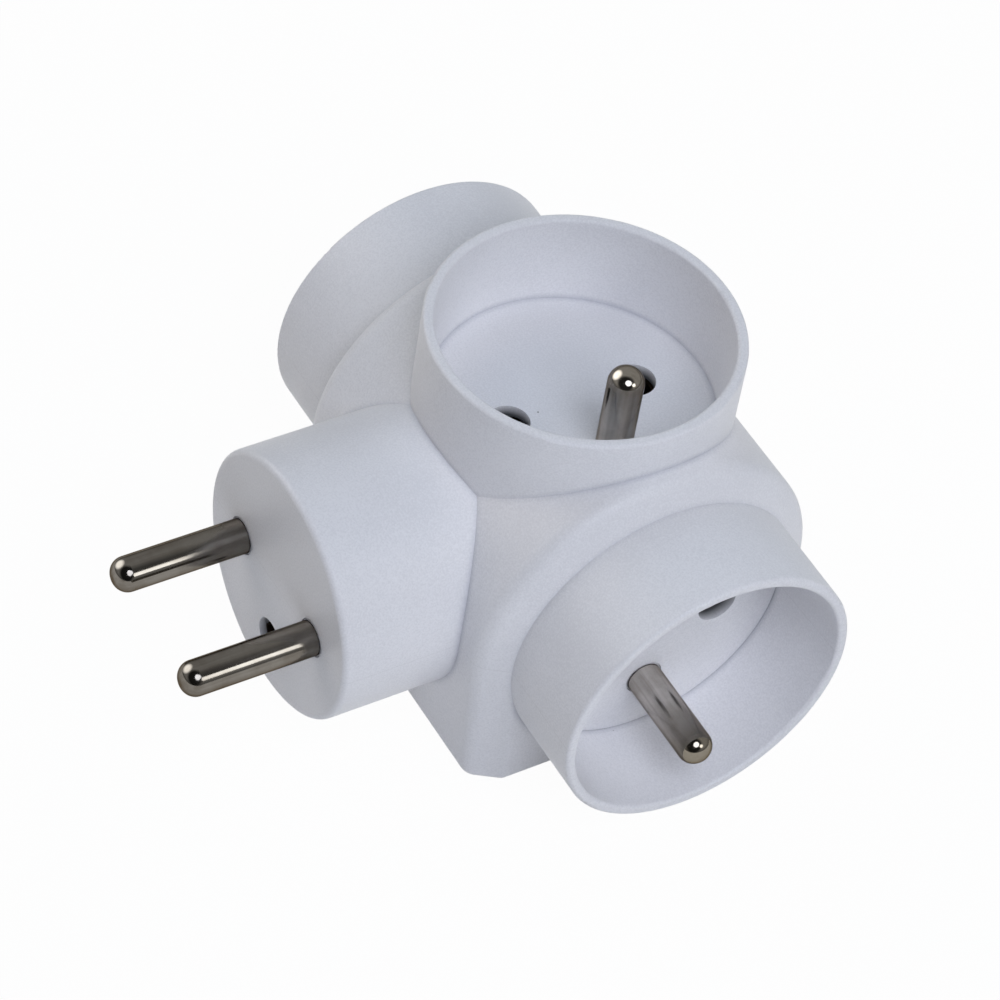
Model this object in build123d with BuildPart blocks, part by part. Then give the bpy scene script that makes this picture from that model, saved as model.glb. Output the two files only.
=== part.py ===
from build123d import *
import os
from math import cos, radians, sin, tan

# Three-way mains adapter: one plug and three recessed sockets on a split moulded housing.
# +Z is up, the plug points to -Y, two sockets face +X and -X, and the third faces up.
# The origin is on the flat base, under the point where the plug and socket axes cross.

# Pins and sockets
pin_diameter = 4.8
pin_pitch = 19.0
pin_reach = 18.6
pin_tip_round = 2.1
earth_offset = 10.0
earth_reach = 14.9
earth_tip_round = 2.2
contact_hole_diameter = 5.6
earth_hole_wall = 1.0
receptacle_depth = 16.0

# Socket cups
recess_radius = 18.9
recess_draft = 0.5
recess_depth = 13.4
cup_wall = 1.5
lip_round = 0.5

# Housing
body_length = 50.4
collar_step = 3.9
collar_bite = 0.4
collar_run = 2.8
collar_round = 2.5
collar_foot_round = 1.5
base_clearance = 2.3
base_round = 2.2
draft_angle = 3.5
floor_stand = 0.5
top_floor_height = 17.3
plug_radius = 18.15
plug_length = 16.8
plug_round = 0.9
wall = 2.2
plug_wall = 3.0
seam_lip = 0.9
rib = 1.5
cradle_grip = 1.2

# Socket face plates
face_thickness = 1.8
face_flange = 2.0
face_flange_step = 1.9
skirt_wall = 1.5

# Strips, contacts and rivets
strip = 1.0
strip_width = 6.0
strip_bend = 1.6
bar_width = 8.0
insulation = 4.0
earth_drop = 3.4
sleeve_wall = 0.5
sleeve_length = 9.0
sleeve_slot = 1.6
sleeve_gap = 0.4
foot = 0.6
foot_width = 5.0
pin_seat_step = 0.2
pin_seat_sink = 0.25
pin_undercut = 0.4
pin_flange = 1.4
pin_flange_step = 1.0
plug_pin_shank = 5.0
earth_pin_shank = 0.6
rivet_diameter = 2.4
rivet_head = 0.8
rivet_head_step = 0.9

# Screws
screw_diameter = 3.0
screw_grip = 7.0
screw_head_diameter = 5.4
screw_head_height = 2.2
screw_slot = 0.8
screw_sink = 1.8
boss_wall = 1.5

# Clearances
fit = 0.05
slip = 0.1
sleeve_clearance = 0.15
screw_clearance = 0.2

# Radii and places that follow from the sizes above
pin_radius = pin_diameter / 2
seat_radius = pin_radius + pin_seat_step
flange_radius = seat_radius + pin_flange_step
contact_offset = pin_pitch / 2
mouth_radius = recess_radius + recess_draft
cup_radius = mouth_radius + cup_wall
body_radius = cup_radius + collar_step
axis_height = cup_radius + base_clearance
inner_radius = body_radius - wall
side_end = body_length / 2
slope_start = side_end - collar_run
inner_end = side_end - wall
side_floor = side_end + floor_stand
side_back = side_floor - face_thickness
side_rim = side_floor + recess_depth
top_back = top_floor_height - face_thickness
top_rim = top_floor_height + recess_depth
plug_face = body_radius + plug_length
plug_back = plug_face - plug_wall
plug_bore = plug_radius - wall
ring_end = inner_end - face_flange - slip
ring_start = ring_end - rib
sleeve_bore = pin_radius + sleeve_clearance
sleeve_radius = sleeve_bore + sleeve_wall
bar_face = contact_offset + sleeve_radius + foot
bar_back = bar_face + strip
rivet_radius = rivet_diameter / 2
rivet_head_radius = rivet_radius + rivet_head_step
pin_tab = plug_back - pin_flange - plug_pin_shank
earth_strip_top = earth_offset + earth_drop
receptacle_mouth = plug_face - earth_hole_wall - slip
receptacle_back = plug_face - receptacle_depth
receptacle_foot = receptacle_back - strip
boss_radius = screw_diameter / 2 + boss_wall
sink_radius = screw_head_diameter / 2 + screw_clearance
sink_depth = screw_sink + screw_head_height
boss_x = ring_end - boss_radius
boss_y = bar_back + rivet_head + boss_radius
boss_places = [(x, y) for x in (-boss_x, boss_x) for y in (-boss_y, boss_y)]

# Planes through the crossing of the axes, and the three socket floors facing out.
# On a floor the contact holes lie along its x and the earth pin at its negative y.
seam_plane = Plane.XY.offset(axis_height)
across = Plane.YZ.shift_origin((0, 0, axis_height))
along = Plane.XZ.shift_origin((0, 0, axis_height))
floors = {
    "left": Plane((-side_floor, 0, axis_height), x_dir=(0, -1, 0), z_dir=(-1, 0, 0)),
    "right": Plane((side_floor, 0, axis_height), x_dir=(0, 1, 0), z_dir=(1, 0, 0)),
    "top": Plane((0, 0, axis_height + top_floor_height), x_dir=(0, 1, 0), z_dir=(0, 0, 1)),
}
plug_plane = along.offset(plug_face)

os.makedirs("parts", exist_ok=True)


def finish(piece, name):
    """Names a finished piece and writes it to its own file."""
    piece.part.label = name
    export_step(piece.part, f"parts/{name}.step")


def side_plane(plane, x, y):
    """A plane through a point of another, whose own x runs out along the other's normal."""
    origin = plane.from_local_coords((x, y, 0))
    return Plane(origin, x_dir=plane.z_dir, z_dir=plane.x_dir)


def arch_profile(radius, drop):
    """The housing's section: a round top whose walls run on, leaning in, down to the base."""
    lean = radians(draft_angle)
    half_base = radius * cos(lean) - (drop - radius * sin(lean)) * tan(lean)
    with BuildSketch() as profile:
        with BuildLine():
            top = CenterArc((0, 0), radius, -draft_angle, 180 + 2 * draft_angle)
            Polyline(top @ 1, (-half_base, -drop), (half_base, -drop), top @ 0)
        make_face()
    return profile.sketch


def recess_profile(floor, rim):
    """Half the section of a socket recess along its axis, with its lip rounded over."""
    lip_radius = mouth_radius + lip_round
    with BuildSketch() as profile:
        with BuildLine():
            lip = CenterArc((rim - lip_round, lip_radius), lip_round, 270, 90)
            Polyline(lip @ 0, (floor, recess_radius), (floor, 0), (rim + lip_round, 0))
            Polyline((rim + lip_round, 0), (rim + lip_round, lip_radius), lip @ 1)
        make_face()
    return profile.sketch


def seam_strips(room):
    """Lips along the back wall and both sides of the plug, with room to spare around them."""
    plug_middle = (plug_back + body_radius) / 2
    with BuildSketch() as strips:
        with Locations((0, inner_radius + seam_lip / 2)):
            Rectangle(2 * (boss_x - boss_radius + room), seam_lip + 2 * room)
        with Locations(*[(side * (plug_bore + seam_lip / 2), -plug_middle) for side in (-1, 1)]):
            Rectangle(seam_lip + 2 * room, plug_back - body_radius + 2 * room)
    return strips.sketch


def pin_profile(reach, tip_round, seat, shank):
    """Half a pin along its axis: tip, rod, sunk seat in its wall, flange, shank and riveted end."""
    flange_end = -seat - pin_flange
    shoulder = flange_end - shank
    head_face = shoulder - strip
    head_end = head_face - rivet_head
    with BuildSketch() as profile:
        with BuildLine():
            tip = CenterArc((reach - tip_round, pin_radius - tip_round), tip_round, 0, 90)
            Polyline(
                tip @ 1,
                (0, pin_radius),
                (0, pin_radius - pin_undercut),
                (-pin_seat_sink, pin_radius - pin_undercut),
                (-pin_seat_sink, seat_radius),
                (-seat, seat_radius),
                (-seat, flange_radius),
                (flange_end, flange_radius),
                (flange_end, seat_radius),
                (shoulder, seat_radius),
                (shoulder, rivet_radius),
                (head_face, rivet_radius),
                (head_face, rivet_head_radius),
                (head_end, rivet_head_radius),
                (head_end, 0),
                (reach, 0),
                tip @ 0,
            )
        make_face()
    return profile.sketch


def bent_strip(*points):
    """The edge-on outline of a strip bent along a line of points, given at its middle."""
    with BuildSketch() as profile:
        with BuildLine() as middle:
            FilletPolyline(*points, radius=strip_bend)
        trace(middle.line, line_width=strip)
    return profile.sketch


# Outer form of the closed housing: arched body, side cups, top cup and plug
with BuildPart() as outer_form:
    with BuildSketch(across.offset(-side_end)):
        add(arch_profile(body_radius, axis_height))
    extrude(amount=body_length)
    for side in (0, -1):
        end = outer_form.faces().filter_by(Axis.X).sort_by(Axis.X)[side]
        arch_edges = end.edges().filter_by_position(Axis.Z, base_round, axis_height + body_radius)
        chamfer(arch_edges, collar_step + collar_bite, collar_run, reference=end)
    slope_starts = [
        edge for edge in outer_form.edges() if abs(abs(edge.center().X) - slope_start) < fit
    ]
    fillet(slope_starts, collar_round)
    end_edges = outer_form.faces().filter_by(Axis.X).edges()
    fillet(end_edges.filter_by_position(Axis.Z, base_round, axis_height + body_radius), collar_foot_round)
    fillet(outer_form.faces().sort_by(Axis.Z)[0].edges(), base_round)
    with BuildSketch(across.offset(-side_rim)):
        Circle(cup_radius)
    extrude(amount=2 * side_rim)
    with BuildSketch(seam_plane):
        Circle(cup_radius)
    extrude(amount=top_rim)
    with BuildSketch(along):
        Circle(plug_radius)
    extrude(amount=plug_face)
    circles = outer_form.edges().filter_by(GeomType.CIRCLE)
    cup_rims = circles.group_by(Axis.X)[0] + circles.group_by(Axis.X)[-1] + circles.group_by(Axis.Z)[-1]
    fillet(cup_rims, lip_round)
    fillet(outer_form.edges().filter_by(GeomType.CIRCLE).group_by(Axis.Y)[0], plug_round)

# Hollow of the housing, which stops below the top socket's floor
with BuildPart() as hollow:
    with BuildSketch(across.offset(-inner_end)):
        add(arch_profile(inner_radius, axis_height - wall))
    extrude(amount=2 * inner_end)
    end_edges = hollow.faces().filter_by(Axis.X).edges()
    chamfer(end_edges.filter_by_position(Axis.Z, 2 * wall, axis_height + body_radius), wall / 2)
    with BuildSketch(along):
        Circle(plug_bore)
    extrude(amount=plug_back)
    with BuildSketch(seam_plane.offset(top_back)):
        Circle(cup_radius)
    extrude(amount=top_rim, mode=Mode.SUBTRACT)

# Recesses of the three sockets, the side ones open to the hollow for their face plates
with BuildPart() as recesses:
    with BuildSketch(seam_plane):
        add(recess_profile(side_floor, side_rim))
    revolve(axis=Axis((0, 0, axis_height), (1, 0, 0)))
    with BuildSketch(floors["right"]):
        Circle(recess_radius)
    extrude(amount=inner_end - side_floor)
    mirror(about=Plane.YZ)
    with BuildSketch(Plane.ZX.shift_origin((0, 0, axis_height))):
        add(recess_profile(top_floor_height, top_rim))
    revolve(axis=Axis.Z)

# Walls inside the housing: rings that trap the side face plates, the web that traps the
# pin flanges, with a slot for the earth receptacle, and the bosses for the screws
with BuildPart() as inner_walls:
    for face in (across, Plane(across.origin, x_dir=(0, -1, 0), z_dir=(-1, 0, 0))):
        with BuildSketch(face.offset(ring_start)):
            add(arch_profile(inner_radius + wall / 2, axis_height - wall / 2))
            Circle(recess_radius - skirt_wall / 2, mode=Mode.SUBTRACT)
        extrude(amount=rib)
    with BuildSketch(along.offset(plug_back - pin_flange - slip)):
        Circle(plug_bore + wall / 2)
        with Locations((-contact_offset, 0), (contact_offset, 0)):
            Circle(seat_radius + fit, mode=Mode.SUBTRACT)
        with Locations((0, -earth_offset)):
            Circle(sleeve_radius + slip, mode=Mode.SUBTRACT)
        with Locations((0, -earth_offset / 2)):
            Rectangle(2 * (sleeve_radius + slip), earth_offset, mode=Mode.SUBTRACT)
    extrude(amount=-rib)
    with BuildSketch(Plane.XY):
        with Locations(*boss_places):
            Circle(boss_radius)
    extrude(amount=axis_height + body_radius)
    with BuildSketch(Plane.XY):
        with Locations(*boss_places):
            Circle(sink_radius + boss_wall)
    extrude(amount=sink_depth + boss_wall)
    add(outer_form.part, mode=Mode.INTERSECT)

# Holes through the plug's front wall, the earth hole widened behind to seat its receptacle
with BuildPart() as plug_holes:
    with BuildSketch(plug_plane):
        with Locations((-contact_offset, 0), (contact_offset, 0)):
            Circle(seat_radius + fit)
        with Locations((0, -earth_offset)):
            Circle(contact_hole_diameter / 2)
    extrude(amount=-plug_wall)
    with BuildSketch(plug_plane.offset(-earth_hole_wall)):
        with Locations((0, -earth_offset)):
            Circle(sleeve_radius + slip)
    extrude(amount=earth_hole_wall - plug_wall)

# The whole housing, before it is parted along the seam
with BuildPart() as whole_housing:
    add(outer_form.part)
    add(hollow.part, mode=Mode.SUBTRACT)
    add(inner_walls.part)
    add(recesses.part, mode=Mode.SUBTRACT)
    add(plug_holes.part, mode=Mode.SUBTRACT)

# Upper shell, with the holes in the top socket's floor and the screw holes in its bosses
with BuildPart() as upper_housing:
    add(whole_housing.part)
    split(bisect_by=seam_plane, keep=Keep.TOP)
    with BuildSketch(floors["top"]):
        with Locations((-contact_offset, 0), (contact_offset, 0)):
            Circle(contact_hole_diameter / 2)
        with Locations((0, -earth_offset)):
            Circle(seat_radius + fit)
    extrude(amount=-face_thickness, mode=Mode.SUBTRACT)
    with BuildSketch(seam_plane):
        with Locations(*boss_places):
            Circle(screw_diameter / 2 + fit)
    extrude(amount=screw_grip + slip, mode=Mode.SUBTRACT)
    with BuildSketch(seam_plane):
        add(seam_strips(slip))
    extrude(amount=seam_lip + slip, mode=Mode.SUBTRACT)
finish(upper_housing, "upper_housing")

# Lower shell, with its seam lip, sunk screw holes, and seats for the strips
with BuildPart() as lower_housing:
    add(whole_housing.part)
    split(bisect_by=seam_plane, keep=Keep.BOTTOM)
    cradle_x = contact_offset + strip_width / 2 + rib
    cradle_top = cradle_grip - bar_width / 2
    cradle_inner = bar_face - rib
    cradle_width = inner_radius - cradle_inner
    for x in (-cradle_x, cradle_x):
        with BuildSketch(across.offset(x - rib / 2)):
            for side in (-1, 1):
                with Locations((side * (cradle_inner + cradle_width / 2), cradle_top)):
                    Rectangle(cradle_width, axis_height - wall + cradle_top, align=(Align.CENTER, Align.MAX))
                with Locations((side * (bar_face + strip / 2), cradle_top)):
                    Rectangle(
                        strip + 2 * slip,
                        cradle_grip,
                        align=(Align.CENTER, Align.MAX),
                        mode=Mode.SUBTRACT,
                    )
        extrude(amount=rib)
    saddle_x = earth_offset + strip_width
    saddle_top = -earth_strip_top
    for x in (-saddle_x, saddle_x):
        with BuildSketch(across.offset(x - rib / 2)):
            with Locations((0, saddle_top)):
                Rectangle(
                    strip_width + 2 * rib, axis_height - wall + saddle_top, align=(Align.CENTER, Align.MAX)
                )
                Rectangle(
                    strip_width + 2 * slip, strip, align=(Align.CENTER, Align.MAX), mode=Mode.SUBTRACT
                )
        extrude(amount=rib)
    with BuildSketch(Plane.XY):
        with Locations(*boss_places):
            Circle(screw_diameter / 2 + screw_clearance)
    extrude(amount=axis_height, mode=Mode.SUBTRACT)
    with BuildSketch(Plane.XY):
        with Locations(*boss_places):
            Circle(sink_radius)
    extrude(amount=sink_depth, mode=Mode.SUBTRACT)
    with BuildSketch(seam_plane):
        add(seam_strips(0))
    extrude(amount=seam_lip)
finish(lower_housing, "lower_housing")

# Screws from the base into the upper shell's bosses, with a cross cut in their heads
with BuildPart() as housing_screws:
    with BuildSketch(Plane.XY.offset(screw_sink)):
        with Locations(*boss_places):
            Circle(screw_head_diameter / 2)
    extrude(amount=screw_head_height)
    with BuildSketch(Plane.XY.offset(sink_depth)):
        with Locations(*boss_places):
            Circle(screw_diameter / 2)
    extrude(amount=axis_height + screw_grip - sink_depth)
    with BuildSketch(Plane.XY.offset(screw_sink)):
        with Locations(*boss_places):
            Rectangle(screw_diameter, screw_slot)
            Rectangle(screw_slot, screw_diameter)
    extrude(amount=screw_head_height / 2, mode=Mode.SUBTRACT)
finish(housing_screws, "housing_screws")

# Face plates of the side sockets: a flanged cap trapped between the end wall and its ring,
# relieved where the top socket's cup comes down behind it
for place in ("left", "right"):
    floor = floors[place]
    with BuildPart() as socket_face:
        with BuildSketch(floor):
            Circle(recess_radius - slip)
        extrude(amount=-(side_floor - inner_end + face_flange))
        with BuildSketch(floor.offset(inner_end - side_floor)):
            Circle(recess_radius + face_flange_step)
        extrude(amount=-face_flange)
        with BuildSketch(floor.offset(-face_thickness)):
            Circle(recess_radius - slip - skirt_wall)
        extrude(amount=-body_length, mode=Mode.SUBTRACT)
        with BuildSketch(seam_plane.offset(top_back - slip)):
            Circle(cup_radius + slip)
        extrude(amount=top_rim, mode=Mode.SUBTRACT)
        with BuildSketch(floor):
            with Locations((-contact_offset, 0), (contact_offset, 0)):
                Circle(contact_hole_diameter / 2)
            with Locations((0, -earth_offset)):
                Circle(seat_radius + fit)
        extrude(amount=-face_thickness, mode=Mode.SUBTRACT)
    finish(socket_face, f"socket_face_{place}")

# Earth pins, flanged behind each socket floor and riveted into the earth strips
for place, floor in floors.items():
    pin_plane = side_plane(floor, 0, -earth_offset)
    with BuildPart() as earth_pin:
        with BuildSketch(pin_plane):
            add(pin_profile(earth_reach, earth_tip_round, face_thickness, earth_pin_shank))
        revolve(axis=Axis(pin_plane.origin, pin_plane.x_dir))
    finish(earth_pin, f"earth_pin_{place}")

# Plug pins, flanged behind the plug's front wall and riveted into the line and neutral bars
for name, x in (("line_pin", -contact_offset), ("neutral_pin", contact_offset)):
    pin_plane = side_plane(plug_plane, x, 0)
    with BuildPart() as plug_pin:
        with BuildSketch(pin_plane):
            add(pin_profile(pin_reach, pin_tip_round, plug_wall, plug_pin_shank))
        revolve(axis=Axis(pin_plane.origin, pin_plane.x_dir))
    finish(plug_pin, name)

# Contacts: slotted spring sleeves on a flat foot, with a rivet through the bar behind it
for place, floor in floors.items():
    for name, bar_side in (("line", 1), ("neutral", -1)):
        out = Vector(0, bar_side, 0)
        back = face_thickness + sleeve_gap
        centre = floor.origin + out * contact_offset - floor.z_dir * back
        mouth = Plane(centre, x_dir=out, z_dir=floor.z_dir)
        rivet_centre = centre + out * (sleeve_radius + foot) - floor.z_dir * (sleeve_length / 2)
        with BuildPart() as contact:
            with BuildSketch(mouth):
                Circle(sleeve_radius)
                with Locations((sleeve_bore, 0)):
                    Rectangle(sleeve_wall + foot, foot_width, align=(Align.MIN, Align.CENTER))
                Circle(sleeve_bore, mode=Mode.SUBTRACT)
                Rectangle(
                    2 * sleeve_radius, sleeve_slot, align=(Align.MAX, Align.CENTER), mode=Mode.SUBTRACT
                )
            extrude(amount=-sleeve_length)
            with BuildSketch(Plane(rivet_centre, x_dir=floor.z_dir, z_dir=out)):
                Circle(rivet_radius)
            extrude(amount=strip)
            with BuildSketch(Plane(rivet_centre + out * strip, x_dir=floor.z_dir, z_dir=out)):
                Circle(rivet_head_radius)
            extrude(amount=rivet_head)
        finish(contact, f"{name}_contact_{place}")

# Line and neutral bars: a plate behind three contacts, and a leg bent to the plug pin
side_rivet = side_back - sleeve_gap - sleeve_length / 2
top_rivet = top_back - sleeve_gap - sleeve_length / 2
bar_end = side_back - sleeve_gap
stem_top = top_back - sleeve_gap
for name, bar_side, pin_x, leg_z in (
    ("line_busbar", 1, -contact_offset, -bar_width / 2 - insulation - strip / 2),
    ("neutral_busbar", -1, contact_offset, -bar_width / 2 - strip / 2),
):
    bar_y = bar_side * (bar_face + strip / 2)
    tab_y = strip / 2 - pin_tab
    with BuildPart() as busbar:
        with BuildSketch(along.offset(-bar_y)):
            Rectangle(2 * bar_end, bar_width)
            Rectangle(bar_width, stem_top, align=(Align.CENTER, Align.MIN))
            with Locations((-side_rivet, 0), (side_rivet, 0), (0, top_rivet)):
                Circle(rivet_radius + fit, mode=Mode.SUBTRACT)
        extrude(amount=strip / 2, both=True)
        with BuildSketch(across.offset(pin_x - strip_width / 2)):
            add(bent_strip((bar_y, 0), (bar_y, leg_z), (tab_y, leg_z), (tab_y, bar_width / 2)))
        extrude(amount=strip_width)
        with BuildSketch(along.offset(pin_tab)):
            with Locations((pin_x, 0)):
                Circle(rivet_radius + fit)
        extrude(amount=-strip, mode=Mode.SUBTRACT)
    finish(busbar, name)

# Earth bar: a strip along the base with a turned-up tab at each side pin, and a branch to
# the earth receptacle in the plug
with BuildPart() as earth_busbar:
    strip_z = -earth_strip_top - strip / 2
    tab_top = strip_width / 2 - earth_offset
    tab_x = side_back - pin_flange - earth_pin_shank - strip / 2
    branch_y = strip / 2 - receptacle_foot
    with BuildSketch(along.offset(-strip_width / 2)):
        add(bent_strip((-tab_x, tab_top), (-tab_x, strip_z), (tab_x, strip_z), (tab_x, tab_top)))
    extrude(amount=strip_width)
    with BuildSketch(across.offset(-strip_width / 2)):
        add(bent_strip((0, strip_z), (branch_y, strip_z), (branch_y, tab_top)))
    extrude(amount=strip_width)
    with BuildSketch(across.offset(-side_end)):
        with Locations((0, -earth_offset)):
            Circle(rivet_radius + fit)
    extrude(amount=body_length, mode=Mode.SUBTRACT)
    with BuildSketch(along):
        with Locations((0, -earth_offset)):
            Circle(rivet_radius + fit)
    extrude(amount=receptacle_back, mode=Mode.SUBTRACT)
    with BuildSketch(Plane.XY):
        with Locations((earth_offset, 0)):
            Circle(rivet_radius + fit)
    extrude(amount=axis_height - earth_offset, mode=Mode.SUBTRACT)
finish(earth_busbar, "earth_busbar")

# Link from the earth bar up to the top socket's earth pin, riveted to the bar at its foot
with BuildPart() as top_earth_link:
    riser_x = earth_offset + strip_width / 2 + strip
    link_end = earth_offset - strip_width / 2
    foot_z = strip / 2 - earth_strip_top
    link_top = top_back - pin_flange - earth_pin_shank - strip / 2
    with BuildSketch(along.offset(-strip_width / 2)):
        add(bent_strip((link_end, foot_z), (riser_x, foot_z), (riser_x, link_top), (link_end, link_top)))
    extrude(amount=strip_width)
    with BuildSketch(seam_plane.offset(link_top - strip)):
        with Locations((earth_offset, 0)):
            Circle(rivet_radius + fit)
    extrude(amount=2 * strip, mode=Mode.SUBTRACT)
    with BuildSketch(seam_plane.offset(-earth_strip_top)):
        with Locations((earth_offset, 0)):
            Circle(rivet_radius)
    extrude(amount=-strip)
    with BuildSketch(seam_plane.offset(-earth_strip_top - strip)):
        with Locations((earth_offset, 0)):
            Circle(rivet_head_radius)
    extrude(amount=-rivet_head)
finish(top_earth_link, "top_earth_link")

# Earth receptacle: a slotted sleeve behind the plug's earth hole, riveted to the earth bar
with BuildPart() as earth_receptacle:
    with BuildSketch(along.offset(receptacle_back)):
        with Locations((0, -earth_offset)):
            Circle(sleeve_radius)
    extrude(amount=receptacle_mouth - receptacle_back)
    with BuildSketch(along.offset(receptacle_back)):
        with Locations((0, -earth_offset)):
            Circle(sleeve_bore)
            Rectangle(2 * (sleeve_radius + sleeve_wall), sleeve_slot)
    extrude(amount=receptacle_mouth - receptacle_back, mode=Mode.SUBTRACT)
    with BuildSketch(along.offset(receptacle_foot)):
        with Locations((0, -earth_offset)):
            Circle(sleeve_radius)
    extrude(amount=strip)
    with BuildSketch(along.offset(receptacle_foot)):
        with Locations((0, -earth_offset)):
            Circle(rivet_radius)
    extrude(amount=-strip)
    with BuildSketch(along.offset(receptacle_foot - strip)):
        with Locations((0, -earth_offset)):
            Circle(rivet_head_radius)
    extrude(amount=-rivet_head)
finish(earth_receptacle, "earth_receptacle")
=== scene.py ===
from math import cos, pi, radians, sin

import bpy
from mathutils import Matrix, Vector


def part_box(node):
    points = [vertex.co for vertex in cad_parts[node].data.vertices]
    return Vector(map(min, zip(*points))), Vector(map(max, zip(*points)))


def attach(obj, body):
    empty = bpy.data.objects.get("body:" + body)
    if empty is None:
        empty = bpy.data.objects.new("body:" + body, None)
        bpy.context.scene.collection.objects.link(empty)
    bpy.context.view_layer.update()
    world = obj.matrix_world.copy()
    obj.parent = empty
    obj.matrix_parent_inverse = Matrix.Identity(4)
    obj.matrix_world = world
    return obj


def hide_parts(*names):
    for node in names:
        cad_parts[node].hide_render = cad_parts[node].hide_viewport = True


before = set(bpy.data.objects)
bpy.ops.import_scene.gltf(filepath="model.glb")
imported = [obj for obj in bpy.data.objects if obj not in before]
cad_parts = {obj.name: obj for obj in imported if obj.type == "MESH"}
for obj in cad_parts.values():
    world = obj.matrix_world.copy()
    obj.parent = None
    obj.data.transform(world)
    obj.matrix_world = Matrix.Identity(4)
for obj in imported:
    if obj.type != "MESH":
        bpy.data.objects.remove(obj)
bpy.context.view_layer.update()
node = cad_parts

# Housing shells: white thermoplastic, injection moulded in a spark-eroded tool that leaves a fine
# satin grain. The upper and lower shell meet on a level seam through the middle of the plug, and
# four screws from the base hold them together.
seam_height = 0.0232
seam_width = 0.00007
seam_share = 0.1
contact_offset = 0.0095
earth_offset = 0.010
hole_radius = 0.0028
hole_margin = 1.03
hole_reach = 0.006
top_floor = 0.0405
plug_face = -0.0416
shell_light = (0.880, 0.875, 0.897)
shell_shade = (0.798, 0.793, 0.816)
grain_share = 0.7
mottle_range = (0.40, 0.60)
speck_colour = (0.16, 0.15, 0.14)
speck_share = 0.7
# Crease colour, range and shares: painted shade in creases and joints, where shade falls.
crease_shade_colour = (0.42, 0.43, 0.49)
crease_shade_range = (0.45, 0.9)
shell_crease_shade = 0.62
# Painted shade down the contact and earth holes, darker with depth.
hole_shade_colour = (0.035, 0.04, 0.045)
hole_shade_depths = (0.0002, 0.0015)
hole_shade_share = 0.9
satin_roughness = (0.42, 0.55)
satin_range = (0.3, 0.7)
grain_strength = 0.22
grain_height = 0.00004


def feed(tree, value, socket):
    """Links a socket to another, or sets its plain value."""
    if isinstance(value, bpy.types.NodeSocket):
        tree.links.new(value, socket)
    else:
        socket.default_value = value


def wire(tree, kind, settings=None, **inputs):
    """Adds a node, sets its options and feeds its inputs with values or with other sockets."""
    made = tree.nodes.new(kind)
    for option, value in (settings or {}).items():
        setattr(made, option, value)
    for label, value in inputs.items():
        feed(tree, value, made.inputs[label.replace("_", " ")])
    return made


def reckon(tree, operation, *values):
    """The sum, product or other result of values or sockets."""
    made = wire(tree, "ShaderNodeMath", {"operation": operation})
    for socket, value in zip(made.inputs, values):
        feed(tree, value, socket)
    return made.outputs[0]


def spread(tree, value, low, high, start=0.0, end=1.0):
    """A value between start and end, spread evenly from low to high and held at both."""
    made = wire(tree, "ShaderNodeMapRange", Value=value, From_Min=start, From_Max=end,
                To_Min=low, To_Max=high)
    return made.outputs["Result"]


def blend_colour(tree, share, first, second):
    """A mix of two colours, each given as three numbers or as a socket."""
    made = wire(tree, "ShaderNodeMix", {"data_type": "RGBA"}, Factor=share)
    for socket, colour in ((made.inputs[6], first), (made.inputs[7], second)):
        feed(tree, colour if isinstance(colour, bpy.types.NodeSocket) else (*colour, 1), socket)
    return made.outputs[2]


def object_place(tree):
    """Where a point lies on the adapter, in metres."""
    return wire(tree, "ShaderNodeTexCoord").outputs["Object"]


def place_parts(tree):
    """The X, Y and Z of a point's place on the adapter."""
    return wire(tree, "ShaderNodeSeparateXYZ", Vector=object_place(tree)).outputs


def texture_group(name, outputs, **inputs):
    """A shader node group with named number sockets, and its input and output nodes."""
    group = bpy.data.node_groups.new(name, "ShaderNodeTree")
    for label, value in inputs.items():
        socket = group.interface.new_socket(label.replace("_", " "), in_out="INPUT",
                                            socket_type="NodeSocketFloat")
        socket.default_value = value
    for label in outputs:
        group.interface.new_socket(label, in_out="OUTPUT", socket_type="NodeSocketFloat")
    return group, group.nodes.new("NodeGroupInput").outputs, group.nodes.new("NodeGroupOutput").inputs


def use_group(tree, group, **values):
    """Places a shared effect in a material, with the material's own values."""
    return wire(tree, "ShaderNodeGroup", {"node_tree": group}, **values).outputs


def new_material(name):
    """A material with its Principled shader wired to the output, and its node tree."""
    material = bpy.data.materials.new(name)
    material.use_nodes = True
    return material, material.node_tree, material.node_tree.nodes["Principled BSDF"]


def dress(material, *names):
    """Gives CAD nodes their material in place of the plain one."""
    for name in names:
        node[name].data.materials.clear()
        node[name].data.materials.append(material)


mould_grain, grain_in, grain_out = texture_group(
    "mould_grain", ["Height", "Tone"], Grain_Scale=3800.0, Wave_Scale=70.0)
grain_place = object_place(mould_grain)
fine_grain = wire(mould_grain, "ShaderNodeTexNoise", Vector=grain_place, Scale=grain_in["Grain Scale"],
                  Detail=2.0, Roughness=0.6)
slow_wave = wire(mould_grain, "ShaderNodeTexNoise", Vector=grain_place, Scale=grain_in["Wave Scale"],
                 Detail=2.0, Roughness=0.5)
feed(mould_grain, fine_grain.outputs["Fac"], grain_out["Height"])
feed(mould_grain, slow_wave.outputs["Fac"], grain_out["Tone"])

specks, specks_in, specks_out = texture_group("specks", ["Mask"], Scale=420.0, Share=0.035, Size=0.07)
speck_cells = wire(specks, "ShaderNodeTexVoronoi", Vector=object_place(specks), Scale=specks_in["Scale"])
speck_draw = wire(specks, "ShaderNodeSeparateColor", Color=speck_cells.outputs["Color"]).outputs
speck_here = reckon(specks, "LESS_THAN", speck_draw["Red"], specks_in["Share"])
speck_reach = reckon(specks, "MULTIPLY", speck_draw["Green"], specks_in["Size"])
speck_near = reckon(specks, "LESS_THAN", speck_cells.outputs["Distance"], speck_reach)
feed(specks, reckon(specks, "MULTIPLY", speck_here, speck_near), specks_out["Mask"])

# Painted shade: an occlusion mask that darkens creases and joints, where shade falls.
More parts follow.
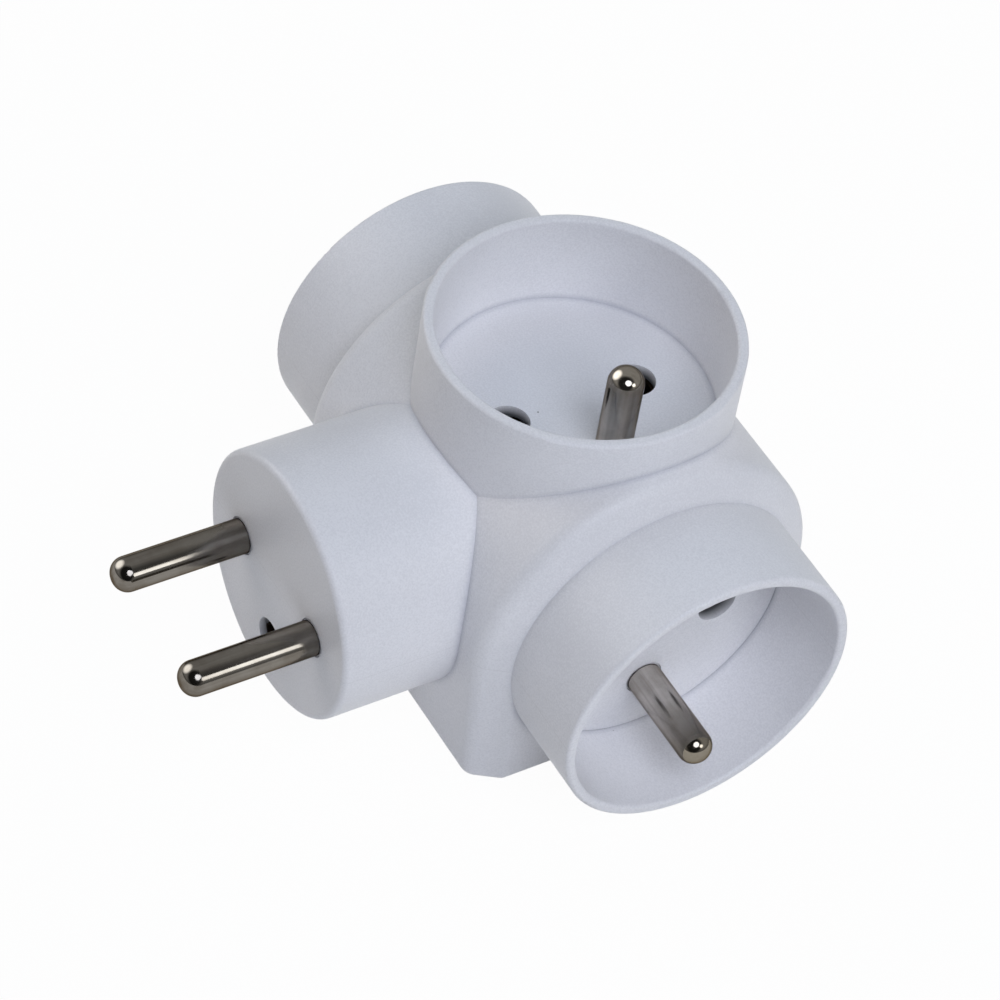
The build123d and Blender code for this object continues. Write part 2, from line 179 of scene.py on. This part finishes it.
crease_shade, crease_shade_in, crease_shade_out = texture_group("crease_shade", ["Mask"], Reach=0.0010, Amount=1.0)
corner = wire(crease_shade, "ShaderNodeAmbientOcclusion", {"samples": 4}, Distance=crease_shade_in["Reach"])
crease_shade_mask = spread(crease_shade, corner.outputs["AO"], 1.0, 0.0, *crease_shade_range)
feed(crease_shade, reckon(crease_shade, "MULTIPLY", crease_shade_mask, crease_shade_in["Amount"]), crease_shade_out["Mask"])


def moulded_plastic(name, light, shade, crease_shading, *marks):
    """White plastic in two close tones, with specks, painted shade in its creases, dark marks and a satin
    grain; the marks are a seam hairline and painted shade down the holes.
    """
    material, tree, shader = new_material(name)
    surface = use_group(tree, mould_grain)
    wave = reckon(tree, "MULTIPLY", surface["Tone"], 1 - grain_share)
    mottle = reckon(tree, "MULTIPLY_ADD", surface["Height"], grain_share, wave)
    tint = blend_colour(tree, spread(tree, mottle, 0.0, 1.0, *mottle_range), shade, light)
    speckled = reckon(tree, "MULTIPLY", use_group(tree, specks)["Mask"], speck_share)
    tint = blend_colour(tree, speckled, tint, speck_colour)
    # Painted shade in the creases, blended towards a blue-grey.
    tint = blend_colour(tree, use_group(tree, crease_shade, Amount=crease_shading)["Mask"], tint, crease_shade_colour)
    place = place_parts(tree)
    for mark, colour, share in marks:
        tint = blend_colour(tree, reckon(tree, "MULTIPLY", mark(tree, place), share), tint, colour)
    feed(tree, tint, shader.inputs["Base Color"])
    feed(tree, spread(tree, surface["Tone"], *satin_roughness, *satin_range), shader.inputs["Roughness"])
    bump = wire(tree, "ShaderNodeBump", Strength=grain_strength, Distance=grain_height,
                Height=surface["Height"])
    feed(tree, bump.outputs["Normal"], shader.inputs["Normal"])
    return material


def seam_line(tree, place):
    """The hairline between the two shells."""
    off_seam = reckon(tree, "ABSOLUTE", reckon(tree, "SUBTRACT", place["Z"], seam_height))
    return spread(tree, off_seam, 1.0, 0.0, seam_width / 2, seam_width)


def hole_shade(tree, depth, across, along):
    """Painted shade on a hole's wall, darker with depth, from the depth and two distances off the hole's
    axis.
    """
    squares = reckon(tree, "MULTIPLY_ADD", across, across, reckon(tree, "POWER", along, 2.0))
    near_axis = reckon(tree, "LESS_THAN", reckon(tree, "SQRT", squares), hole_radius * hole_margin)
    in_wall = reckon(tree, "LESS_THAN", depth, hole_reach)
    in_hole = reckon(tree, "MULTIPLY", near_axis, in_wall)
    return reckon(tree, "MULTIPLY", in_hole, spread(tree, depth, 0.0, 1.0, *hole_shade_depths))


def off_contacts(tree, place):
    """How far along Y a point lies from the nearer of a socket's two contact holes."""
    return reckon(tree, "SUBTRACT", reckon(tree, "ABSOLUTE", place["Y"]), contact_offset)


def plug_depth(tree, place):
    """How far a point lies behind the plug's face."""
    return reckon(tree, "SUBTRACT", place["Y"], plug_face)


def top_depth(tree, place):
    """How far a point lies below the floor of the top socket."""
    return reckon(tree, "SUBTRACT", top_floor, place["Z"])


def shell_hole_shade(tree, place):
    """Painted shade in the top socket's contact holes and in the plug's earth hole."""
    off_earth = reckon(tree, "SUBTRACT", place["Z"], seam_height - earth_offset)
    contact_hole_shade = hole_shade(tree, top_depth(tree, place), place["X"], off_contacts(tree, place))
    earth_hole_shade = hole_shade(tree, plug_depth(tree, place), place["X"], off_earth)
    return reckon(tree, "MAXIMUM", contact_hole_shade, earth_hole_shade)


shell_white = moulded_plastic("shell_white", shell_light, shell_shade, shell_crease_shade,
                              (seam_line, speck_colour, seam_share), (shell_hole_shade, hole_shade_colour, hole_shade_share))
dress(shell_white, "upper_housing", "lower_housing")

# Side socket faces: round flanged plates of the same white plastic, moulded apart from the shells
# and trapped between them. They are the floors of the left and right sockets, with a fine joint
# line around them.
side_floor = 0.0257
face_light = (0.883, 0.878, 0.900)
face_shade = (0.803, 0.798, 0.821)
# Share of painted crease shade on the face plates.
face_crease_shade = 0.2


def side_depth(tree, place):
    """How far a point lies behind the floor of a side socket."""
    return reckon(tree, "SUBTRACT", side_floor, reckon(tree, "ABSOLUTE", place["X"]))


def face_hole_shade(tree, place):
    """Painted shade in the plate's contact holes."""
    off_middle = reckon(tree, "SUBTRACT", place["Z"], seam_height)
    return hole_shade(tree, side_depth(tree, place), off_contacts(tree, place), off_middle)


face_white = moulded_plastic("face_white", face_light, face_shade, face_crease_shade,
                             (face_hole_shade, hole_shade_colour, hole_shade_share))
dress(face_white, "socket_face_left", "socket_face_right")

# Plug pins: drawn brass rod with turned, rounded tips, nickel plated and dulled by use. They are
# trapped by a flange behind the plug's front wall.
nickel_clean = (0.220, 0.205, 0.183)
nickel_hazed = (0.165, 0.148, 0.127)
nickel_edge = (0.35, 0.32, 0.29)
haze_scale = 240.0
haze_share = 0.6
haze_range = (0.42, 0.62)
# Tip colour: partly tarnish, partly painted shade standing in for the darker surroundings the tips reflect.
tip_tarnish_and_shade = (0.17, 0.148, 0.108)
tip_depths = (-0.0135, -0.0065)
line_scale = 1800.0
line_stretch = 0.04
line_range = (0.35, 0.65)
line_strength = 0.05
line_height = 0.00002
rod_roughness = (0.13, 0.22)
tip_polish = 0.07
flash_edge = 0.00005
flash_roughness = 0.4


def nickel_plate(name, clean, hazed, stretch, depth, tarnish_and_shade_share):
    """Nickel with lines along the rod, a brown haze, a polished tip darkened partly by tarnish and partly
    by painted shade, and a flash of plastic at its root.
    """
    material, tree, shader = new_material(name)
    along_rod = wire(tree, "ShaderNodeMapping", Vector=object_place(tree), Scale=stretch).outputs["Vector"]
    lines = wire(tree, "ShaderNodeTexNoise", Vector=along_rod, Scale=line_scale, Detail=3.0).outputs["Fac"]
    haze = wire(tree, "ShaderNodeTexNoise", Vector=object_place(tree), Scale=haze_scale, Detail=4.0,
                Roughness=0.6).outputs["Fac"]
    worn = reckon(tree, "MULTIPLY_ADD", haze, haze_share, reckon(tree, "MULTIPLY", lines, 1 - haze_share))
    tint = blend_colour(tree, spread(tree, worn, 0.0, 1.0, *haze_range), clean, hazed)
    behind_face = depth(tree, place_parts(tree))
    tip = spread(tree, behind_face, 1.0, 0.0, *tip_depths)
    # Tip darkening: partly tarnish, partly painted shade.
    tint = blend_colour(tree, reckon(tree, "MULTIPLY", tip, tarnish_and_shade_share), tint, tip_tarnish_and_shade)
    flash = spread(tree, behind_face, 0.0, 1.0, 0.0, flash_edge)
    feed(tree, blend_colour(tree, flash, tint, shell_shade), shader.inputs["Base Color"])
    feed(tree, reckon(tree, "SUBTRACT", 1.0, flash), shader.inputs["Metallic"])
    shader.inputs["Specular Tint"].default_value = (*nickel_edge, 1)
    drawn = spread(tree, lines, *rod_roughness, *line_range)
    rubbed = reckon(tree, "MULTIPLY_ADD", tip, -tip_polish, drawn)
    feed(tree, reckon(tree, "MULTIPLY_ADD", flash, flash_roughness, rubbed), shader.inputs["Roughness"])
    bump = wire(tree, "ShaderNodeBump", Strength=line_strength, Distance=line_height, Height=lines)
    feed(tree, bump.outputs["Normal"], shader.inputs["Normal"])
    return material


plug_nickel = nickel_plate("nickel_plug_pins", nickel_clean, nickel_hazed, (1.0, line_stretch, 1.0),
                           plug_depth, tarnish_and_shade_share=0.0)
dress(plug_nickel, "line_pin", "neutral_pin")

# Earth pins: the same plated rod with a domed tip, one standing in each socket recess. A flange
# behind the socket floor holds each of them, and its end is riveted to an earth strip.
earth_clean = (0.58, 0.54, 0.50)
earth_hazed = (0.42, 0.385, 0.345)
side_nickel = nickel_plate("nickel_side_pins", earth_clean, earth_hazed, (line_stretch, 1.0, 1.0),
                           side_depth, tarnish_and_shade_share=0.8)
top_nickel = nickel_plate("nickel_top_pin", earth_clean, earth_hazed, (1.0, 1.0, line_stretch),
                          top_depth, tarnish_and_shade_share=0.6)
dress(side_nickel, "earth_pin_left", "earth_pin_right")
dress(top_nickel, "earth_pin_top")

# Contacts and earth receptacle: slotted spring sleeves rolled from bronze strip, painted nearly black.
# They sit close behind the contact holes, and their dark colour is painted shade for the holes' depths.
# Painted shade: these bronze colours stand in for the shade behind the contact holes.
bronze_painted_dark = (0.10, 0.070, 0.045)
bronze_painted_darker = (0.05, 0.035, 0.025)
tarnish_scale = 320.0
tarnish_range = (0.4, 0.65)
strip_roughness = (0.28, 0.48)
strip_range = (0.35, 0.65)


def stamped_strip(name, bright, dull):
    """Rolled strip metal with a tarnish that gathers in patches."""
    material, tree, shader = new_material(name)
    tarnish = wire(tree, "ShaderNodeTexNoise", Vector=object_place(tree), Scale=tarnish_scale,
                   Detail=4.0).outputs["Fac"]
    tint = blend_colour(tree, spread(tree, tarnish, 0.0, 1.0, *tarnish_range), bright, dull)
    feed(tree, tint, shader.inputs["Base Color"])
    shader.inputs["Metallic"].default_value = 1.0
    feed(tree, spread(tree, tarnish, *strip_roughness, *strip_range), shader.inputs["Roughness"])
    return material


spring_bronze = stamped_strip("spring_bronze", bronze_painted_dark, bronze_painted_darker)
dress(spring_bronze, "earth_receptacle")
for side in ("left", "right", "top"):
    dress(spring_bronze, f"line_contact_{side}", f"neutral_contact_{side}")

# Bars and earth strips: stamped and bent from brass strip, and riveted to the contacts and pins.
# They run along the inside of the lower shell and join the sockets to the plug.
brass_bright = (0.76, 0.58, 0.28)
brass_dull = (0.52, 0.37, 0.17)
dress(stamped_strip("brass_strip", brass_bright, brass_dull),
      "line_busbar", "neutral_busbar", "earth_busbar", "top_earth_link")

# Housing screws: zinc plated pan heads with a cross recess and a coarse thread. They are driven
# from the base, up through the lower shell into the bosses of the upper one.
zinc_bright = (0.62, 0.63, 0.64)
zinc_dull = (0.46, 0.46, 0.45)
screw_low, screw_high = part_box("housing_screws")
head_radius = 0.0027
screw_sizes = {
    "Spacing X": screw_high.x - screw_low.x - 2 * head_radius,
    "Spacing Y": screw_high.y - screw_low.y - 2 * head_radius,
    "Foot": screw_low.z,
    "Length": screw_high.z - screw_low.z,
    "Head Radius": head_radius,
    "Head Height": 0.0022,
    "Head Edge": 0.84,
    "Core Radius": 0.00125,
    "Point Length": 0.002,
    "Point Share": 0.3,
    "Thread Radius": 0.0015,
    "Thread Pitch": 0.001,
    "Thread Length": 0.010,
    "Ridge Share": 0.7,
    "Recess Length": 0.003,
    "Recess Width": 0.0008,
    "Recess Depth": 0.0011,
    "Seed": 4,
}
head_sides = 36
head_rings = 8
core_sides = 24
ridge_sides = 4
thread_steps = 20
smooth_angle = radians(35)


def upright(tree, shape, height):
    """Lifts a shape to a height given by a socket or a value."""
    lift = wire(tree, "ShaderNodeCombineXYZ", Z=height).outputs["Vector"]
    return wire(tree, "GeometryNodeTransform", Geometry=shape, Translation=lift).outputs["Geometry"]


def half(tree, size):
    """Half of a size."""
    return reckon(tree, "MULTIPLY", size, 0.5)


screws = bpy.data.node_groups.new("housing_screws", "GeometryNodeTree")
for label, value in screw_sizes.items():
    kind = "NodeSocketInt" if isinstance(value, int) else "NodeSocketFloat"
    screws.interface.new_socket(label, in_out="INPUT", socket_type=kind)
screws.interface.new_socket("Screws", in_out="OUTPUT", socket_type="NodeSocketGeometry")
given = screws.nodes.new("NodeGroupInput").outputs

# The head is a short cylinder drawn in towards its face, with a cross cut into it
head_drum = wire(screws, "GeometryNodeMeshCylinder", Vertices=head_sides, Side_Segments=head_rings,
                 Radius=given["Head Radius"], Depth=given["Head Height"]).outputs["Mesh"]
drum_point = wire(screws, "GeometryNodeInputPosition").outputs["Position"]
drum_parts = wire(screws, "ShaderNodeSeparateXYZ", Vector=drum_point).outputs
face_level = reckon(screws, "MULTIPLY", given["Head Height"], -0.5)
draw_in = spread(screws, drum_parts["Z"], given["Head Edge"], 1.0, face_level, 0.0)
drawn_point = wire(screws, "ShaderNodeCombineXYZ", X=reckon(screws, "MULTIPLY", drum_parts["X"], draw_in),
                   Y=reckon(screws, "MULTIPLY", drum_parts["Y"], draw_in), Z=drum_parts["Z"])
pan = wire(screws, "GeometryNodeSetPosition", Geometry=head_drum, Position=drawn_point.outputs["Vector"])
cross = wire(screws, "GeometryNodeMeshBoolean", {"operation": "DIFFERENCE"})
feed(screws, pan.outputs["Geometry"], cross.inputs["Mesh 1"])
arm_depth = reckon(screws, "MULTIPLY", given["Recess Depth"], 2.0)
for arm_x, arm_y in (("Recess Length", "Recess Width"), ("Recess Width", "Recess Length")):
    arm_size = wire(screws, "ShaderNodeCombineXYZ", X=given[arm_x], Y=given[arm_y], Z=arm_depth)
    arm = wire(screws, "GeometryNodeMeshCube", Size=arm_size.outputs["Vector"]).outputs["Mesh"]
    feed(screws, upright(screws, arm, face_level), cross.inputs["Mesh 2"])
head_middle = reckon(screws, "ADD", given["Foot"], half(screws, given["Head Height"]))
head = upright(screws, cross.outputs["Mesh"], head_middle)

# The shank is a core with a ridge wound round its upper end, and a blunt point
core_start = reckon(screws, "ADD", given["Foot"], given["Head Height"])
shank_length = reckon(screws, "SUBTRACT", given["Length"], given["Head Height"])
core_length = reckon(screws, "SUBTRACT", shank_length, given["Point Length"])
core_middle = reckon(screws, "ADD", core_start, half(screws, core_length))
core_end = reckon(screws, "ADD", core_start, core_length)
core = wire(screws, "GeometryNodeMeshCylinder", Vertices=core_sides, Radius=given["Core Radius"],
            Depth=core_length)
core = upright(screws, core.outputs["Mesh"], core_middle)
point_radius = reckon(screws, "MULTIPLY", given["Core Radius"], given["Point Share"])
point = wire(screws, "GeometryNodeMeshCone", Vertices=core_sides, Radius_Bottom=given["Core Radius"],
             Radius_Top=point_radius, Depth=given["Point Length"])
point = upright(screws, point.outputs["Mesh"], core_end)
ridge_height = reckon(screws, "SUBTRACT", given["Thread Radius"], given["Core Radius"])
ridge = reckon(screws, "MULTIPLY", ridge_height, given["Ridge Share"])
ridge_middle = reckon(screws, "SUBTRACT", given["Thread Radius"], ridge)
thread_turns = reckon(screws, "DIVIDE", given["Thread Length"], given["Thread Pitch"])
winding = wire(screws, "GeometryNodeCurveSpiral", Resolution=thread_steps, Rotations=thread_turns,
               Start_Radius=ridge_middle, End_Radius=ridge_middle, Height=given["Thread Length"])
ridge_section = wire(screws, "GeometryNodeCurvePrimitiveCircle", Resolution=ridge_sides, Radius=ridge)
thread = wire(screws, "GeometryNodeCurveToMesh", Curve=winding.outputs["Curve"],
              Profile_Curve=ridge_section.outputs["Curve"], Fill_Caps=True)
thread_start = reckon(screws, "SUBTRACT", core_end, given["Thread Length"])
thread = upright(screws, thread.outputs["Mesh"], thread_start)

# The whole screw stands at each corner of a grid, turned at random
one_screw = wire(screws, "GeometryNodeJoinGeometry")
for piece in (head, core, point, thread):
    feed(screws, piece, one_screw.inputs["Geometry"])
corners = wire(screws, "GeometryNodeMeshGrid", Size_X=given["Spacing X"], Size_Y=given["Spacing Y"],
               Vertices_X=2, Vertices_Y=2).outputs["Mesh"]
turn = wire(screws, "FunctionNodeRandomValue", {"data_type": "FLOAT_VECTOR"}, Seed=given["Seed"])
turn.inputs["Min"].default_value = (0, 0, 0)
turn.inputs["Max"].default_value = (0, 0, pi / 2)
placed = wire(screws, "GeometryNodeInstanceOnPoints", Points=corners, Rotation=turn.outputs["Value"],
              Instance=one_screw.outputs["Geometry"]).outputs["Instances"]
solid = wire(screws, "GeometryNodeRealizeInstances", Geometry=placed).outputs["Geometry"]
zinc_steel = stamped_strip("zinc_steel", zinc_bright, zinc_dull)
plated = wire(screws, "GeometryNodeSetMaterial", Geometry=solid, Material=zinc_steel).outputs["Geometry"]
feed(screws, plated, screws.nodes.new("NodeGroupOutput").inputs["Screws"])

screw_seat = bpy.data.objects.new("screw_seat", bpy.data.meshes.new("screw_seat"))
bpy.context.scene.collection.objects.link(screw_seat)
screw_maker = screw_seat.modifiers.new("screws", "NODES")
screw_maker.node_group = screws
for item in screws.interface.items_tree:
    if item.name in screw_sizes:
        screw_maker[item.identifier] = screw_sizes[item.name]
screw_view = bpy.context.evaluated_depsgraph_get()
screw_mesh = bpy.data.meshes.new_from_object(screw_seat.evaluated_get(screw_view))
screw_seat.modifiers.remove(screw_maker)
bpy.data.objects.remove(screw_seat)
screw_mesh.shade_smooth()
screw_mesh.set_sharp_from_angle(angle=smooth_angle)
shell_screws = bpy.data.objects.new("shell_screws", screw_mesh)
bpy.context.scene.collection.objects.link(shell_screws)
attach(shell_screws, "root")
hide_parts("housing_screws")

# Floor: a plain white table top under the adapter, lit as white paper for the camera and for
# mirror-like metal, and darkened a little where the adapter shades it.
floor_half = 3.0
floor_colour = (0.90, 0.90, 0.90)
floor_roughness = 0.9
floor_gloss = 0.1
paper_share = 0.97
floor_corners = [(x * floor_half, y * floor_half, 0) for x, y in ((-1, -1), (1, -1), (1, 1), (-1, 1))]
floor_mesh = bpy.data.meshes.new("floor")
floor_mesh.from_pydata(floor_corners, [], [(0, 1, 2, 3)])
floor = bpy.data.objects.new("floor", floor_mesh)
bpy.context.scene.collection.objects.link(floor)
floor_white, floor_tree, floor_shader = new_material("floor_white")
floor_shader.inputs["Base Color"].default_value = (*floor_colour, 1)
floor_shader.inputs["Roughness"].default_value = floor_roughness
floor_shader.inputs["Specular IOR Level"].default_value = floor_gloss
floor_ray = wire(floor_tree, "ShaderNodeLightPath").outputs
mirror_ray = reckon(floor_tree, "MAXIMUM", floor_ray["Is Glossy Ray"], floor_ray["Is Transmission Ray"])
seen = reckon(floor_tree, "MAXIMUM", floor_ray["Is Camera Ray"], mirror_ray)
paper = wire(floor_tree, "ShaderNodeEmission", Strength=1.0)
floor_mix = wire(floor_tree, "ShaderNodeMixShader", Fac=reckon(floor_tree, "MULTIPLY", seen, paper_share))
feed(floor_tree, floor_shader.outputs[0], floor_mix.inputs[1])
feed(floor_tree, paper.outputs[0], floor_mix.inputs[2])
feed(floor_tree, floor_mix.outputs[0], floor_tree.nodes["Material Output"].inputs["Surface"])
floor_mesh.materials.append(floor_white)

# Light: soft boxes all round, the strongest beside the camera, and a small one at the right that draws
# the bright line on the plug pins. Metal shows a pale room, dark at its foot and where the camera
# stands, with a soft window at the left, and the camera sees white past the floor.
room_light = 0.05
room_wall = 0.50
room_foot = 0.35
foot_rise = 0.28
room_dark = 0.03
camera_direction = (0.548, -0.417, 0.726)
dark_core = cos(radians(41))
dark_edge = cos(radians(57))
left_direction = (-0.74, -0.42, 0.52)
window_glow = 3.4
window_core = cos(radians(16))
window_edge = cos(radians(32))
box_distance = 0.8
adapter_middle = Vector((0, 0, seam_height))
cool_white = (0.83, 0.88, 1.0)
plain_white = (0.96, 0.98, 1.0)
warm_white = (1.0, 0.92, 0.84)
sky_white = (0.35, 0.67, 1.0)


def nearness(tree, ray, direction):
    """How nearly a ray runs in a direction, as the cosine of the angle between them."""
    made = wire(tree, "ShaderNodeVectorMath", {"operation": "DOT_PRODUCT"})
    feed(tree, ray, made.inputs[0])
    made.inputs[1].default_value = Vector(direction).normalized()
    return made.outputs["Value"]


def soft_box(name, direction, size, power, tint, mirrored):
    """A round lamp that faces the adapter from a given direction, and may show in metal."""
    lamp = bpy.data.lights.new(name, "AREA")
    lamp.shape = "DISK"
    lamp.size = size
    lamp.energy = power
    lamp.color = tint
    box = bpy.data.objects.new(name, lamp)
    out = Vector(direction).normalized()
    box.location = adapter_middle + out * box_distance
    box.rotation_euler = out.to_track_quat("Z", "Y").to_euler()
    box.visible_glossy = mirrored
    bpy.context.scene.collection.objects.link(box)


world = bpy.data.worlds.new("studio")
world.use_nodes = True
bpy.context.scene.world = world
room = world.node_tree
room_ray = wire(room, "ShaderNodeTexCoord").outputs["Generated"]
room_rise = wire(room, "ShaderNodeSeparateXYZ", Vector=room_ray).outputs["Z"]
wall = spread(room, nearness(room, room_ray, camera_direction), room_wall, room_dark, dark_edge, dark_core)
wall = reckon(room, "MULTIPLY", wall, spread(room, room_rise, room_foot, 1.0, 0.0, foot_rise))
window = spread(room, nearness(room, room_ray, left_direction), 0.0, window_glow, window_edge, window_core)
mirrored_room = reckon(room, "ADD", wall, window)
room_path = wire(room, "ShaderNodeLightPath").outputs
white_seen = reckon(room, "MAXIMUM", room_path["Is Camera Ray"], room_path["Is Transmission Ray"])
light_share = reckon(room, "SUBTRACT", 1.0, reckon(room, "MAXIMUM", white_seen, room_path["Is Glossy Ray"]))
in_metal = reckon(room, "MULTIPLY_ADD", room_path["Is Glossy Ray"], mirrored_room, white_seen)
room_level = reckon(room, "MULTIPLY_ADD", light_share, room_light, in_metal)
feed(room, room_level, room.nodes["Background"].inputs["Strength"])
room.nodes["Background"].inputs["Color"].default_value = (1, 1, 1, 1)

soft_box("main_box", (0.61, -0.159, 0.776), size=0.5, power=3.2, tint=cool_white, mirrored=True)
soft_box("stripe_box", (0.815, 0.296, 0.499), size=0.275, power=0.82, tint=plain_white, mirrored=True)
soft_box("left_box", left_direction, size=0.8, power=1.76, tint=warm_white, mirrored=False)
soft_box("back_box", (-0.30, 0.85, 0.45), size=0.5, power=0.98, tint=plain_white, mirrored=False)
soft_box("sky_box", (-0.60, 0.0, 0.80), size=0.5, power=0.65, tint=sky_white, mirrored=False)

# Camera: where the picture was taken from, above the corner between the plug and the right socket,
# with a long lens and turned a little about its line of sight.
camera_place = Vector((0.30827, -0.24311, 0.43370))
camera_aim = Vector((-0.00281, -0.00654, 0.02157))
camera_roll = radians(10.19)
camera = bpy.data.cameras.new("camera")
camera.lens = 155.2
camera.sensor_width = 36.0
sight = (camera_aim - camera_place).normalized()
level_right = sight.cross(Vector((0, 0, 1))).normalized()
level_up = level_right.cross(sight)
camera_up = level_up * cos(camera_roll) - level_right * sin(camera_roll)
camera_right = sight.cross(camera_up)
camera_object = bpy.data.objects.new("camera", camera)
camera_object.matrix_world = Matrix((
    (camera_right.x, camera_up.x, -sight.x, camera_place.x),
    (camera_right.y, camera_up.y, -sight.y, camera_place.y),
    (camera_right.z, camera_up.z, -sight.z, camera_place.z),
    (0, 0, 0, 1),
))
bpy.context.scene.collection.objects.link(camera_object)
bpy.context.scene.camera = camera_object
bpy.context.scene.view_settings.view_transform = "Standard"
